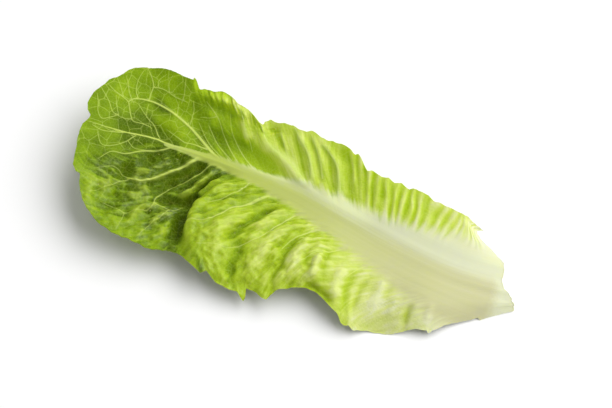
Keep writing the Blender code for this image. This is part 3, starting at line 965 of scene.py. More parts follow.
@dataclass
class Skin:
    """The leaf's skin as two grids of points, with what the material reads at each point.

    A grain is how many millimetres one lump of a random pattern takes, across the side veins and
    along them, or for the curdle that of its folds and of its lumps. The two cut tables give how
    far the torn end reaches out at each step across.
    """

    form: LeafForm = field(default_factory=LeafForm)
    band: PaleBand = field(default_factory=PaleBand)
    pleats: Pleats = field(default_factory=Pleats)
    half_columns: int = 430
    steps: int = 88
    blade_thickness: float = 0.5
    vein_flank: float = 0.3
    tip_cell: float = 7.5
    side_cell: tuple[float, float] = (7.0, 10.0)
    tip_cells: tuple[float, float] = (11.5, 24.4)
    warp_gap: float = 14.0
    puff_reach: float = 2.0
    margin_noise: float = 0.45
    fray: float = 0.4
    fold_grain: tuple[float, float] = (13.0, 30.0)
    lump_grain: tuple[float, float] = (11.0, 22.0)
    curdle_grain: tuple[float, float] = (9.0, 6.0)
    pucker_grain: tuple[float, float] = (5.0, 9.0)
    bump_grain: tuple[float, float] = (2.8, 5.0)
    swell_grain: float = 11.0
    rib_grain: tuple[float, float] = (3.5, 70.0)
    end_sink: float = 1.8
    roughness: Strength = Strength(tip_lobe=1.2, lobe=1.0, end_loss=0.6, fold_wall=0.4,
                                   middle_wall=0.3, tip_wall=0.12, lower_wall=0.12)
    puffiness: Strength = Strength(tip_lobe=0.6, lobe=0.5, end_loss=0.5, fold_wall=0.25,
                                   middle_wall=0.2, tip_wall=0.16, lower_wall=0.1)
    cut_wall: Path2 = (
        (0, 1.2), (0.05, -1.3), (0.1, -1.7), (0.2, -2.2), (0.3, -1), (0.4, 0.5), (0.5, 1.4),
        (0.6, -2), (0.7, -4), (0.8, -6.6), (0.9, -7.2), (0.95, -6.2), (1, -1.6),
    )
    cut_lobe: Path2 = ((0, 1.2), (0.1, 0.3), (0.4, -1.1), (0.6, -1.3), (0.9, 0), (1, 0.5))
    green: Path2 = (
        (0, 0), (1, 0.12), (2, 0.25), (3, 0.31), (5, 0.37), (8, 0.29), (10, 0.44), (11.8, 0.68),
        (13, 0.82), (18, 0.87), (22, 0.8), (24, 0.78), (25, 0.72), (27, 0.59), (29, 0.48),
        (30, 0.43), (31, 0.34), (32, 0.22), (33, 0.14), (34.5, 0.05), (36, 0),
    )

    def build(self) -> bpy.types.Object:
        """Work the skin out and make its mesh.

        Returns:
            The leaf, with its attributes, placed in its mesh.
        """
        stations = np.linspace(0, self.form.LAST, 2 * self.half_columns + 1)
        across = np.tile(np.linspace(0, 1, self.steps + 1), (len(stations), 1))
        smooth_face = self.form.face(stations, across)
        normals = self.form.normals(smooth_face)
        face = self._cut_end(stations, across, smooth_face + self._ragged(stations, across))
        u = np.broadcast_to(stations[:, None], across.shape)
        places = Places.on(self.form, self.pleats, u, across, face)
        veins = VeinField(self.form, VEINS).measure(face, normals)
        rise, traits = self._traits(places, veins, face)
        upper = face + normals * rise[..., None]
        upper[..., 2] = np.maximum(upper[..., 2], self.blade_thickness)
        lower = upper - normals * self._thickness(places, veins)[..., None]
        lower[..., 2] = np.maximum(lower[..., 2], 0)
        return self._mesh(upper + self.form.shift(), lower + self.form.shift(), traits)

    def _ragged(self, stations: Array, across: Array) -> Array:
        """Move the rows' outer ends in and out for a torn, scalloped margin.

        Args:
            stations: The rows' stations.
            across: How far out each point is.

        Returns:
            Each point's move, along its row's last stretch: t^6 times the margin's excess.
        """
        wobble = Noise(Seed.MARGIN).layers(stations * 2.6, stations * 0, 4)
        excess = read(MARGIN_EXCESS, stations) + self.margin_noise * wobble
        _, _, second, margin = self.form.rows(stations)
        return (excess[:, None] * across**6)[..., None] * unit(margin - second)[:, None]

    def _cut_end(self, stations: Array, across: Array, face: Array) -> Array:
        """Tear the cut end: move its last stretch along the midrib's own direction.

        Args:
            stations: The rows' stations.
            across: How far out each point is.
            face: The smooth face.

        Returns:
            The face with its cut end torn.
        """
        start, ahead = self.form.rib_at(np.array((0.0, 0.02)))
        fray = self.fray * Noise(Seed.FRAY).layers(across * 9, across * 0, 3)
        fray *= smooth(0, 0.1, across)
        wall = (read(self.cut_wall, across) + fray) * smooth(1.4, 0, stations)[:, None]
        near_lobe = smooth(0.7, 0, self.form.LAST - stations)[:, None]
        lobe = (read(self.cut_lobe, across) + fray) * near_lobe
        return face + (wall + lobe)[..., None] * unit(start - ahead)

    def _net(self, places: Places) -> Array:
        """Lay the fine mesh of veins: round cells at the tip, long ones along the side veins.

        Args:
            places: Where the points are.

        Returns:
            Millimetres to the nearest cell edge, with opposite signs on its two sides.
        """
        x, y = places.x / self.warp_gap, places.y / self.warp_gap
        warp_x, warp_y = Noise(Seed.WARP_X)(x, y), Noise(Seed.WARP_Y)(x, y)
        tip = Cells(Seed.TIP_CELLS).edge((places.x + 2.5 * warp_x) / self.tip_cell,
                                         (places.y + 2.5 * warp_y) / self.tip_cell)
        wide, long = self.side_cell
        side = Cells(Seed.SIDE_CELLS).edge((places.lean + 2 * warp_x) / wide,
                                           (places.out + 3 * warp_y) / long)
        first, last = self.tip_cells
        in_tip = (places.u > first) & (places.u < last)
        return np.where(in_tip, tip * self.tip_cell, side * wide)

    def _folds(self, places: Places, parts: Stretches, face: Array, wave: Array) -> Relief:
        """Raise the blade's large folds: the placed creases, the pleats and the crumpling.

        Args:
            places: Where the points are.
            parts: The stretches of the leaf.
            face: The face, before its relief.
            wave: How high the pleats stand.

        Returns:
            Their relief. The crumpling follows the side veins but for the lobe side's tip,
            where it runs all ways.
        """
        across, lean, out, x, y = places.across, places.lean, places.out, places.x, places.y
        rise = np.zeros(across.shape)
        for crease in CREASES:
            crease.add_to(rise, face, self.form)
        rise *= 1 + 0.3 * parts.tip_lobe + 0.2 * parts.lobe
        crest = rise * (1 - 0.75 * parts.fold_wall * smooth(0.6, 0.85, across))
        relief = Relief(rise, crest)
        relief.add(wave, rise=0.55 * smooth(0.2, 0.7, across),
                   crest=2.2 * smooth(0.1, 0.5, across))

        (wide, long), (lump, run), (fold, curd) = (
            self.fold_grain, self.lump_grain, self.curdle_grain)
        crumple = (0.6 * Noise(Seed.FOLDS).creases(lean / wide, out / long, 2)
                   + 0.8 * Noise(Seed.LUMPS).layers(lean / lump, out / run, 2))
        curdle = (0.6 * Noise(Seed.FOLDS).creases(x / fold, y / fold, 3)
                  + 0.6 * Noise(Seed.LUMPS).layers(x / curd, y / curd, 2))
        near_lobe = parts.lobe * (1 - parts.end_lobe)
        crumple += (curdle - crumple) * (parts.tip_lobe + 0.5 * near_lobe)
        relief.add(self.roughness.over(parts) * crumple, rise=1.0, crest=0.8 - 0.15 * parts.lobe)
        return relief

    def _detail(self, relief: Relief, places: Places, parts: Stretches) -> None:
        """Add the small relief: puckers, bumps and the folded stretch's frilled hem.

        Args:
            relief: The relief, which is changed.
            places: Where the points are.
            parts: The stretches of the leaf.
        """
        across, lean, out, x, y = places.across, places.lean, places.out, places.x, places.y
        near_lobe = parts.lobe * (1 - parts.end_lobe)
        wide, long = self.pucker_grain
        slanted = Noise(Seed.PUCKERS).creases(lean / wide, out / long, 2)
        all_ways = Noise(Seed.PUCKERS).creases(x / wide, y / wide, 2)
        puckers = slanted * (1 - parts.tip_lobe)
        puckers += all_ways * (parts.tip_lobe + 0.6 * parts.lobe)
        relief.add(puckers * (near_lobe + 0.8 * parts.tip_lobe), rise=0.4, crest=0.5)

        wide, long = self.bump_grain
        bumps = Noise(Seed.BUMPS).layers(lean / wide, out / (long - 1.8 * parts.tip_lobe), 2)
        bumps *= (parts.lobe * (1 - 0.7 * parts.end_lobe) * smooth(1.0, 0.55, across)
                  + parts.tip_lobe * smooth(1.0, 0.8, across))
        relief.add(bumps, rise=0.35, crest=1.05 - 0.2 * parts.lobe)

        frill = Noise(Seed.HEM).layers(places.u * 8, across * 9, 2)
        relief.add(frill * parts.fold_wall * smooth(0.78, 0.88, across), rise=0.7, crest=1.1)

    def _traits(self, places: Places, veins: dict[str, Array],
                face: Array) -> tuple[Array, dict[Trait, Array]]:
        """Work out the relief and what the material reads.

        Args:
            places: Where the points are.
            veins: What the vein field measured.
            face: The face, before its relief.

        Returns:
            How far the upper skin is off the face, and the attributes' vectors.
        """
        u, across, x, y = places.u, places.across, places.x, places.y
        side_sign = np.where(places.on_wall, 1.0, -1.0)
        sideways = places.rib_gap * side_sign
        band = places.rib_gap / self.band(places.fraction, places.on_wall)
        parts = Stretches.at(u)
        wave = self.pleats.wave(u, across) * parts.lower_wall
        relief = self._folds(places, parts, face, wave)
        self._detail(relief, places, parts)

        net = self._net(places)
        puff = 1 - bump(np.minimum(np.abs(net), veins["gap"]), self.puff_reach)
        relief.add(puff - 0.5, rise=self.puffiness.over(parts))
        swell = Noise(Seed.SWELL).layers(x / self.swell_grain, y / self.swell_grain, 2)
        relief.add(swell, rise=0.3 * (1 - 0.6 * parts.tip_wall))
        ruffle = Noise(Seed.RUFFLE)(u * 1.6, across * 0) * smooth(0.8, 1.0, across)
        relief.add(ruffle, rise=0.9 * (1 - 0.5 * parts.tip_wall))

        # The midrib stays smooth, and the last of the lobe sinks towards the cut end.
        rise = relief.rise * smooth(0.55, 1.15, band)
        rise -= self.end_sink * smooth(34.0, 35.2, u) * smooth(0.5, 1.0, across)
        ridge = veins["height"] * bump(veins["gap"], veins["half"] + self.vein_flank)
        ridge *= 0.3 + 0.7 * (parts.tip_wall + parts.tip_lobe)
        rise += ridge * smooth(0.5, 1.0, band)
        wide, long = self.rib_grain
        grain = Noise(Seed.RIB)(sideways / wide, places.along / long)
        rise += 0.15 * grain * (1 - smooth(0, 1.1, band))

        green = self._green(places, veins, parts)
        evenness = parts.tip_wall - parts.tip_lobe - parts.lobe - 0.4 * parts.fold_wall
        return rise, {
            Trait.FLAT: np.stack([x, y, side_sign], axis=-1),
            Trait.VEIN: np.stack([veins["side"], veins["gap"], veins["half"]], axis=-1),
            Trait.NET: np.stack([net, puff, evenness], axis=-1),
            Trait.TONE: np.stack([green, band - 0.08 * wave, relief.crest], axis=-1),
            Trait.GRAIN: np.stack([places.along, sideways, places.lean], axis=-1),
        }

    def _thickness(self, places: Places, veins: dict[str, Array]) -> Array:
        """Work out how thick the leaf is.

        Args:
            places: Where the points are.
            veins: What the vein field measured.

        Returns:
            The blade's thickness, plus the midrib's rounded keel, 1 - (gap / half-width)^2, and
            below each vein its half-width.
        """
        half = read(self.form.rib_half_width, places.fraction)
        depth = read(self.form.rib_depth, places.fraction) - self.blade_thickness
        keel = np.clip(1 - (places.rib_gap / half) ** 2, 0, 1)
        under_vein = veins["half"] * bump(veins["gap"], veins["half"] + 0.5)
        return self.blade_thickness + depth * keel + under_vein * (1 - keel)

    def _green(self, places: Places, veins: dict[str, Array], parts: Stretches) -> Array:
        """Work out how green the blade is, from 0 at the cut end to 1 in the darkest folds.

        Args:
            places: Where the points are.
            veins: What the vein field measured.
            parts: The stretches of the leaf.

        Returns:
            The stations' green, paler on the folded stretch's hem as a painted highlight, and
            darker as painted shade in a curl of the margin, in the gully beside the big lobe, and
            beside the tip's strong veins.
        """
        u, across = places.u, places.across
        # The hem is paled as a painted highlight; the curl and the gully are darkened as painted
        # shade.
        hem = smooth(9.4, 10.0, u) * smooth(12.6, 12.3, u) * smooth(0.84, 0.92, across)
        curl = bump(u - 25.3, 0.16) * bump(across - 0.96, 0.05)
        gully = bump(u - 23.85, 0.4) * smooth(0.25, 0.5, across)
        green = read(self.green, u) - 0.1 * hem + 0.35 * curl + 0.3 * gully
        green += 0.05 * Noise(Seed.HUE)(u * 1.5, across * 4)
        green += parts.tip_lobe * (0.22 - 0.2 * smooth(0.6, 0.92, across))
        # Painted shade beside the tip's strong raised veins.
        strong = smooth(0.3, 0.9, veins["half"]) * smooth(14.0, 14.5, u) * smooth(23.8, 23.2, u)
        green += 0.3 * strong * bump(veins["gap"], 3.5)
        return green + 0.2 * bump(u - 17, 1.4) * bump(across - 0.35, 0.25)

    def _indices(self, columns: int, steps: int, first: int) -> Array:
        """Number a face's points, where both sides share those along the midrib.

        Args:
            columns: How many rows of the leaf the grid has.
            steps: How many steps each row has.
            first: The first point's number.

        Returns:
            The grid of numbers.
        """
        column, step = np.meshgrid(np.arange(columns), np.arange(steps + 1), indexing="ij")
        shared = np.minimum(column, columns - 1 - column)
        own = (columns + 1) // 2 + column * steps + step - 1
        return first + np.where(step == 0, shared, own)

    @staticmethod
    def _own(values: Array) -> Array:
        """List a grid's values in the order of its point numbers.

        Args:
            values: The grid.

        Returns:
            The midrib's values up to the tip, then all the others, row by row.
        """
        on_rib = (len(values) + 1) // 2
        tail = values.shape[2:]
        return np.concatenate([values[:on_rib, 0], values[:, 1:].reshape((-1,) + tail)])

    @staticmethod
    def _quads(corners: Array) -> Array:
        """Return the quads of a grid of point numbers."""
        around = (corners[:-1, :-1], corners[1:, :-1], corners[1:, 1:], corners[:-1, 1:])
        return np.stack(around, axis=-1).reshape(-1, 4)

    def _mesh(self, upper: Array, lower: Array, traits: dict[Trait, Array]) -> bpy.types.Object:
        """Join the two faces along the margin and the cut end.

        Args:
            upper: The upper face's points.
            lower: The lower face's points, of which every second one is used each way.
            traits: What the material reads.

        Returns:
            The leaf.
        """
        top = self._indices(len(upper), self.steps, 0)
        upper_points = self._own(upper)
        lower = lower[::2, ::2]
        bottom = self._indices(len(lower), self.steps // 2, len(upper_points))
        points = np.concatenate([upper_points, self._own(lower)]) * MM
        quads = np.concatenate([self._quads(top)[:, ::-1], self._quads(bottom)])
        rim = np.concatenate([top[0], top[1:, -1], top[-1, -2::-1]])
        below = np.concatenate([bottom[0], bottom[1:, -1], bottom[-1, -2::-1]])
        start, middle, end = rim[:-1:2], rim[1::2], rim[2::2]
        triangles = np.concatenate([
            np.stack([below[:-1], start, middle], axis=1),
            np.stack([below[:-1], middle, below[1:]], axis=1),
            np.stack([middle, end, below[1:]], axis=1),
        ])
        mesh = bpy.data.meshes.new("romaine_leaf")
        mesh.from_pydata(points.tolist(), [], quads.tolist() + triangles.tolist())
        mesh.update()
        mesh.shade_smooth()
        for trait, grid in traits.items():
            values = np.concatenate([self._own(grid), self._own(grid[::2, ::2])])
            layer = mesh.attributes.new(trait.value, "FLOAT_VECTOR", "POINT")
            layer.data.foreach_set("vector", values.astype(np.float32).ravel())
        under = np.arange(len(points)) >= len(upper_points)
        layer = mesh.attributes.new(Trait.UNDER.value, "FLOAT", "POINT")
        layer.data.foreach_set("value", under.astype(np.float32))
        leaf = bpy.data.objects.new("romaine_leaf", mesh)
        bpy.context.scene.collection.objects.link(leaf)
        return leaf


# --------------------------------------------------------------------------- shader maths

class Nodes:
    """A material's node tree, with one method that adds any node."""

    def __init__(self, material: bpy.types.Material) -> None:
        """Clear the material's tree.

        Args:
            material: The material to fill.
        """
        material.use_nodes = True
        self.tree = material.node_tree
        self.tree.nodes.clear()

    def add(self, kind: str, settings: dict | None = None, **inputs: object) -> bpy.types.Node:
        """Add a node.

        Args:
            kind: The node's type.
            settings: Its own properties, set before its sockets.
            inputs: Values or links of its sockets, by name with underscores for spaces, or
                input_0, input_1 for sockets by number.

        Returns:
            The node.
        """
        node = self.tree.nodes.new(kind)
        for name, value in (settings or {}).items():
            setattr(node, name, value)
        for name, value in inputs.items():
            socket = (node.inputs[int(name[6:])] if name.startswith("input_")
                      else node.inputs[name.replace("_", " ")])
            self.link(value, socket)
        return node

    def link(self, value: object, socket: bpy.types.NodeSocket) -> None:
        """Give a socket a value or a link.

        Args:
            value: A Value, another socket, or a plain number or colour.
            socket: The socket that takes it.
        """
        if isinstance(value, Value):
            self.tree.links.new(value.socket, socket)
        elif isinstance(value, bpy.types.NodeSocket):
            self.tree.links.new(value, socket)
        else:
            socket.default_value = value

    def surface(self, shader: bpy.types.Node) -> None:
        """Make a shader the material's surface."""
        self.add("ShaderNodeOutputMaterial", Surface=shader.outputs[0])

    def attribute(self, trait: Trait, output: str) -> bpy.types.NodeSocket:
        """Return one output of an attribute of the mesh."""
        source = self.add("ShaderNodeAttribute", {"attribute_name": trait.value})
        return source.outputs[output]

    def parts(self, trait: Trait) -> tuple["Value", "Value", "Value"]:
        """Return the three parts of a vector attribute."""
        split = self.add("ShaderNodeSeparateXYZ", input_0=self.attribute(trait, "Vector"))
        return tuple(Value(self, split.outputs[k]) for k in range(3))

    def plane(self, x: "Value", y: "Value") -> bpy.types.NodeSocket:
        """Return the vector (x, y, 0)."""
        return self.add("ShaderNodeCombineXYZ", X=x, Y=y).outputs[0]

    def mix(self, factor: object, low: object, high: object) -> bpy.types.NodeSocket:
        """Mix two colours.

        Args:
            factor: How much of the second one, from 0 to 1.
            low: The first colour.
            high: The second colour.

        Returns:
            The colour between them.
        """
        node = self.add("ShaderNodeMix", {"data_type": "RGBA"})
        factor_socket, low_socket, high_socket = (node.inputs[k] for k in (0, 6, 7))
        self.link(factor, factor_socket)
        self.link(low, low_socket)
        self.link(high, high_socket)
        return node.outputs[2]

    def noise(self, vector: bpy.types.NodeSocket, scale: float, detail: float) -> "Value":
        """Add a noise texture on a plane.

        Args:
            vector: Where it is read.
            scale: Lumps for each unit of the vector.
            detail: How many finer layers it has.

        Returns:
            The noise, around 0.5.
        """
        node = self.add("ShaderNodeTexNoise", {"noise_dimensions": "2D"},
                        Vector=vector, Scale=scale, Detail=detail)
        return Value(self, node.outputs["Fac"])

    def ramp(self, place: "Value", stops: Stops) -> bpy.types.NodeSocket:
        """Read a ramp of colours.

        Args:
            place: Where on the ramp, from 0 to 1.
            stops: Its stops: (place, colour).

        Returns:
            The colour there.
        """
        node = self.add("ShaderNodeValToRGB", input_0=place.clamp())
        elements = node.color_ramp.elements
        while len(elements) < len(stops):
            elements.new(1.0)
        for element, (where, colour) in zip(elements, stops):
            element.position = where
            element.color = colour
        return node.outputs[0]


class Value:
    """A number that varies over the surface: a socket with Python's operators."""

    def __init__(self, nodes: Nodes, socket: bpy.types.NodeSocket) -> None:
        """Wrap a socket.

        Args:
            nodes: The tree it belongs to.
            socket: The socket.
        """
        self.nodes = nodes
        self.socket = socket

    def _math(self, operation: str, *values: object) -> "Value":
        """Add a Math node over the values.

        Args:
            operation: What it does.
            values: What it does it to.

        Returns:
            Its result.
        """
        inputs = {f"input_{k}": value for k, value in enumerate(values)}
        node = self.nodes.add("ShaderNodeMath", {"operation": operation}, **inputs)
        return Value(self.nodes, node.outputs[0])

    def __add__(self, other: object) -> "Value":
        """Return the sum."""
        return self._math("ADD", self, other)

    __radd__ = __add__

    def __sub__(self, other: object) -> "Value":
        """Return the difference."""
        return self._math("SUBTRACT", self, other)

    def __rsub__(self, other: object) -> "Value":
        """Return the difference from a number."""
        return self._math("SUBTRACT", other, self)

    def __mul__(self, other: object) -> "Value":
        """Return the product."""
        return self._math("MULTIPLY", self, other)

    __rmul__ = __mul__

    def __truediv__(self, other: object) -> "Value":
        """Return the quotient."""
        return self._math("DIVIDE", self, other)

    def __abs__(self) -> "Value":
        """Return the size without its sign."""
        return self._math("ABSOLUTE", self)

    def hold(self, low: object, high: object) -> "Value":
        """Hold the value between two limits."""
        return self._math("MINIMUM", self._math("MAXIMUM", self, low), high)

    def clamp(self) -> "Value":
        """Hold the value between 0 and 1."""
        return self.hold(0.0, 1.0)

    def rise(self, low: float, high: float) -> "Value":
        """Rise from 0 at low to 1 at high, or fall where low is the greater.

        Args:
            low: Where the rise starts.
            high: Where it ends.

        Returns:
            3f^2 - 2f^3, where f is how far the value is from low to high.
        """
        node = self.nodes.add("ShaderNodeMapRange", {"interpolation_type": "SMOOTHSTEP"},
                              input_0=self, input_1=low, input_2=high)
        return Value(self.nodes, node.outputs[0])


class LeafNodes(Nodes):
    """The leaf's node tree, with what the skin carries and the patterns that its parts share."""

    def __init__(self, material: bpy.types.Material) -> None:
        """Add the attributes and the shared patterns.

        Args:
            material: The material to fill.
        """
        super().__init__(material)
        self.side, self.gap, self.half = self.parts(Trait.VEIN)
        self.net, self.puff, self.evenness = self.parts(Trait.NET)
        self.green, self.band, self.crest = self.parts(Trait.TONE)
        self.along, self.sideways, lean = self.parts(Trait.GRAIN)
        self.flat = self.attribute(Trait.FLAT, "Vector")
        self.under = Value(self, self.attribute(Trait.UNDER, "Fac"))
        self.mottle = self.noise(self.flat, 0.13, 3)
        self.fine = self.noise(self.flat, 0.8, 2)
        self.stripe = self.noise(self.plane(lean * 0.5, self.sideways * 0.07), 1.0, 2)
        self.streak = self.noise(self.plane(self.along * 0.015, self.sideways * 0.7), 1.0, 3)
        cells = self.add("ShaderNodeTexVoronoi",
                         {"voronoi_dimensions": "2D", "feature": "DISTANCE_TO_EDGE"},
                         Vector=self.flat, Scale=0.5)
        self.veinlet = Value(self, cells.outputs["Distance"])
        self.even = self.evenness.clamp()
        self.folded = (self.evenness * -1.0).clamp()


@dataclass(frozen=True)
class LeafFinish:
    """The colours and gloss of leaf tissue, how much light goes through it, and the highlight and
    shade painted into its colour.

    A field that ends in depth is how much of its colour shows where it is strongest.
    """

    blade_stops: Stops = (
        (0.0, (0.74, 0.77, 0.53, 1)), (0.15, (0.66, 0.74, 0.27, 1)),
        (0.32, (0.52, 0.64, 0.1, 1)), (0.5, (0.38, 0.52, 0.02, 1)),
        (0.66, (0.29, 0.42, 0.008, 1)), (0.82, (0.19, 0.3, 0.004, 1)),
        (0.92, (0.14, 0.23, 0.003, 1)), (1.0, (0.08, 0.14, 0.001, 1)),
    )
    rib_stops: Stops = (
        (0.0, (0.6, 0.59, 0.35, 1)), (0.3, (0.55, 0.56, 0.27, 1)), (0.6, (0.46, 0.51, 0.15, 1)),
        (0.85, (0.42, 0.5, 0.09, 1)), (1.0, (0.46, 0.55, 0.14, 1)),
    )
    vein_tip: Colour = (0.52, 0.62, 0.13, 1)
    vein_base: Colour = (0.63, 0.74, 0.2, 1)
    rib_white: Colour = (0.74, 0.77, 0.56, 1)
    flank_light: Colour = (0.9, 0.95, 0.58, 1)
    underside: Colour = (0.5, 0.6, 0.2, 1)
    hollow_shade: Colour = (0.06, 0.1, 0.001, 1)
    crest_highlight: Colour = (0.44, 0.55, 0.06, 1)
    hollow_shade_depth: float = 0.65
    crest_highlight_depth: float = 0.42
    net_depth: float = 0.34
    veinlet_depth: float = 0.12
    halo_depth: float = 0.12
    white_depth: float = 0.8
    flank_light_depth: float = 0.65
    underside_depth: float = 0.45
    rib_length: float = 206.0
    blade_roughness: float = 0.5
    gloss_level: float = 0.06
    sheen: float = 0.3
    sheen_roughness: float = 0.28
    bump_strength: float = 0.7
    glow: float = 0.6
    glow_radius: tuple[float, float, float] = (0.9, 1.0, 0.2)
    glow_reach: float = 0.002

    def material(self) -> bpy.types.Material:
        """Build the node material.

        Returns:
            A Principled material whose colour, roughness and normal vary over the leaf.
        """
        made = bpy.data.materials.new("leaf_tissue")
        leaf = LeafNodes(made)
        colour = self._veins(leaf, self._blade(leaf))
        edge = (leaf.band + (leaf.stripe - 0.5) * 0.4 + (leaf.fine - 0.5) * 0.1
                - (leaf.gap / (leaf.half + 0.8)).rise(2.0, 0.3) * 0.2)
        colour = leaf.mix(edge.rise(0.74, 1.26), self._rib(leaf), colour)
        colour = leaf.mix(leaf.under * self.underside_depth, colour, self.underside)

        on_blade = leaf.band.rise(0.9, 1.3)
        coat = (leaf.crest.rise(-0.8, 1.2) * leaf.mottle * 2.0 * self.sheen * leaf.folded
                * on_blade * leaf.along.rise(40.0, 90.0))
        height = ((leaf.veinlet.rise(0.0, 0.3) * 0.07 + leaf.fine * 0.08) * on_blade
                  + leaf.streak * 0.05 + leaf.stripe * 0.05)
        bumps = leaf.add("ShaderNodeBump", Strength=self.bump_strength, Distance=MM,
                         Height=height)
        roughness = self.blade_roughness + (leaf.fine - 0.5) * 0.15
        shader = leaf.add(
            "ShaderNodeBsdfPrincipled", {"subsurface_method": "RANDOM_WALK"},
            Base_Color=colour, Roughness=roughness.clamp(), Coat_Weight=coat.clamp(),
            Coat_Roughness=self.sheen_roughness, Normal=bumps.outputs[0],
            Subsurface_Weight=self.glow, Subsurface_Radius=self.glow_radius,
            Subsurface_Scale=self.glow_reach, Specular_IOR_Level=self.gloss_level)
        leaf.surface(shader)
        return made

    def _blade(self, leaf: LeafNodes) -> bpy.types.NodeSocket:
        """Colour the blade between its veins.

        Args:
            leaf: The leaf's node tree.

        Returns:
            The colour of how green the skin is there, greener in mottles and stripes. Its crests
            are paler and its hollows greener, partly the blade's own colour and partly painted
            highlight and shade. The hollows get more painted shade, darkest in the deep folds, and
            the crests of the dark folds a painted highlight.
        """
        rough = 1.0 - leaf.even
        deep = leaf.folded * leaf.green.rise(0.66, 0.82)
        held = leaf.crest.hold(-1.8, 1.7)
        tone = leaf.green + (leaf.mottle - 0.5) * (0.12 + 0.22 * leaf.green)
        tone += (leaf.stripe - 0.5) * 0.34 * rough * (0.35 + 0.65 * leaf.along.rise(25.0, 80.0))
        tone += (0.5 - leaf.puff) * 0.06 * rough
        # Painted highlight and shade, with some of the blade's own paler crests: crests pale the
        # tone and hollows green it.
        tone -= held * (0.09 + leaf.folded * 0.04 - deep * 0.06)
        colour = leaf.ramp(tone.hold(leaf.green * 0.5, leaf.green + 0.2), self.blade_stops)
        # Painted shade: hollows are darkened towards near-black green, most in the deep folds.
        hollow_shade = leaf.crest.rise(-0.9, -3.2) * (0.08 + self.hollow_shade_depth * deep)
        colour = leaf.mix(hollow_shade, colour, self.hollow_shade)
        # Painted highlight: the crests of the dark folds are paled where their glints would be.
        return leaf.mix(leaf.crest.rise(0.5, 2.6) * deep * self.crest_highlight_depth, colour, self.crest_highlight)

    def _veins(self, leaf: LeafNodes, colour: bpy.types.NodeSocket) -> bpy.types.NodeSocket:
        """Lay the veins over the blade, from the wide placed ones to a fine mesh.

        Args:
            leaf: The leaf's node tree.
            colour: The blade's colour.

        Returns:
            The colour with its veins.
        """
        pale = leaf.mix((leaf.green * 2.2 - 0.95).clamp(), self.vein_base, self.vein_tip)
        net = abs(leaf.net).rise(0.32, 0.05) * self.net_depth * (0.3 + 0.7 * leaf.even)
        fine = leaf.veinlet.rise(0.1, 0.02) * self.veinlet_depth
        colour = leaf.mix((net + fine).clamp(), colour, pale)
        core = ((abs(leaf.side) / leaf.half).rise(1.1, 0.4) * leaf.gap.rise(2.2, 1.6)
                * (1.0 - 0.25 * leaf.folded) * (0.5 + 0.5 * leaf.half.rise(0.18, 0.6)))
        halo = (leaf.gap / leaf.half).rise(3.0, 0.8) * self.halo_depth
        return leaf.mix((core + halo).clamp(), colour, pale)

    def _rib(self, leaf: LeafNodes) -> bpy.types.NodeSocket:
        """Colour the midrib.

        Args:
            leaf: The leaf's node tree.

        Returns:
            Its colour along its length, streaked, with a white ridge and cut end, and painted light
            on the wall side's flank in its middle, where the rising wall shades it.
        """
        place = leaf.along / self.rib_length + (leaf.streak - 0.5) * 0.12
        colour = leaf.ramp(place, self.rib_stops)
        ridge = (leaf.sideways + (leaf.streak - 0.5) * 6.0).rise(-1.0, 9.0)
        white = ridge * leaf.along.rise(180.0, 70.0) + leaf.along.rise(9.0, 1.0)
        colour = leaf.mix(white.clamp() * self.white_depth, colour, self.rib_white)
        # Painted light: the wall side's flank is lightened where the rising wall would leave it in
        # shade.
        flank = (leaf.sideways.rise(0.5, 8.5) * leaf.along.rise(75.0, 95.0)
                 * leaf.along.rise(178.0, 150.0))
        return leaf.mix(flank * self.flank_light_depth, colour, self.flank_light)


# --------------------------------------------------------------------------- studio

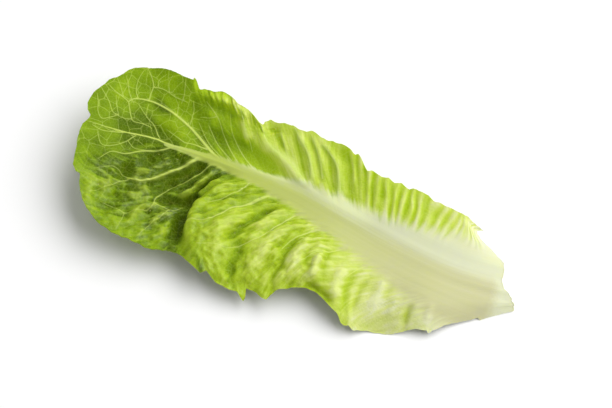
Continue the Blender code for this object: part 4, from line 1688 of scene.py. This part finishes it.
@dataclass(frozen=True)
class Studio:
    """A white table under a large soft light, and the camera that looks down on it."""

    floor_half: float = 1.5
    floor_colour: Colour = (0.95, 0.95, 0.95, 1)
    floor_roughness: float = 0.9
    sky_colour: Colour = (1, 1, 1, 1)
    sky: float = 0.38
    light_place: tuple[float, float, float] = (1.18, 0.88, 2.02)
    light_size: tuple[float, float] = (4.4, 2.2)
    light_power: float = 84.0
    azimuth: float = 20.0
    elevation: float = 60.0
    distance: float = 0.78
    lens: float = 85.0
    nearest: float = 0.01
    aim: tuple[float, float, float] = (8.0, 0.0, 12.0)

    def build(self, form: LeafForm) -> None:
        """Make the floor, the light, the sky and the camera.

        Args:
            form: The leaf's form, which the camera's aim is measured on.
        """
        self._floor()
        self._light()
        self._sky()
        self._camera(form)
        bpy.context.scene.view_settings.view_transform = "Standard"
        LOG.info("studio: floor, softbox, sky and camera")

    def _floor(self) -> None:
        """Lay a plain white floor."""
        h = self.floor_half
        mesh = bpy.data.meshes.new("floor")
        mesh.from_pydata([(-h, -h, 0), (h, -h, 0), (h, h, 0), (-h, h, 0)], [], [(0, 1, 2, 3)])
        material = bpy.data.materials.new("floor")
        nodes = Nodes(material)
        nodes.surface(nodes.add("ShaderNodeBsdfPrincipled", Base_Color=self.floor_colour,
                                Roughness=self.floor_roughness))
        mesh.materials.append(material)
        floor = bpy.data.objects.new("floor", mesh)
        bpy.context.scene.collection.objects.link(floor)

    def _light(self) -> None:
        """Hang a large soft light."""
        lamp = bpy.data.lights.new("softbox", "AREA")
        lamp.shape = "ELLIPSE"
        lamp.size, lamp.size_y = self.light_size
        lamp.energy = self.light_power
        holder = bpy.data.objects.new("softbox", lamp)
        self._point(holder, Vector(self.light_place), Vector((0, 0, 0)))

    def _sky(self) -> None:
        """Light the rest evenly."""
        world = bpy.data.worlds.new("sky")
        world.use_nodes = True
        background = world.node_tree.nodes["Background"]
        background.inputs["Color"].default_value = self.sky_colour
        background.inputs["Strength"].default_value = self.sky
        bpy.context.scene.world = world

    def _camera(self, form: LeafForm) -> None:
        """Look down on the leaf from its lobe side.

        Args:
            form: The leaf's form, which the aim is measured on.
        """
        around, up = math.radians(self.azimuth), math.radians(self.elevation)
        level = math.cos(up)
        back = Vector((math.sin(around) * level, -math.cos(around) * level, math.sin(up)))
        target = Vector((np.array(self.aim) + form.shift()) * MM)
        lens = bpy.data.cameras.new("camera")
        lens.lens = self.lens
        lens.clip_start = self.nearest
        camera = bpy.data.objects.new("camera", lens)
        self._point(camera, target + back * self.distance, target)
        bpy.context.scene.camera = camera

    @staticmethod
    def _point(thing: bpy.types.Object, place: Vector, target: Vector) -> None:
        """Put a light or a camera in place.

        Args:
            thing: The light or camera.
            place: Where it goes.
            target: What it is aimed at.
        """
        thing.location = place
        thing.rotation_euler = (target - place).to_track_quat("-Z", "Y").to_euler()
        bpy.context.scene.collection.objects.link(thing)


# --------------------------------------------------------------------------- main


def main() -> None:
    """Build the leaf and the studio around it."""
    logging.basicConfig(level=logging.INFO, format="%(name)s: %(message)s")
    skin = Skin()
    leaf = skin.build()
    leaf.data.materials.append(LeafFinish().material())
    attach(leaf, "root")
    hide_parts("leaf")
    LOG.info("%s: %d points", leaf.name, len(leaf.data.vertices))
    Studio().build(skin.form)


if __name__ == "__main__":
    main()
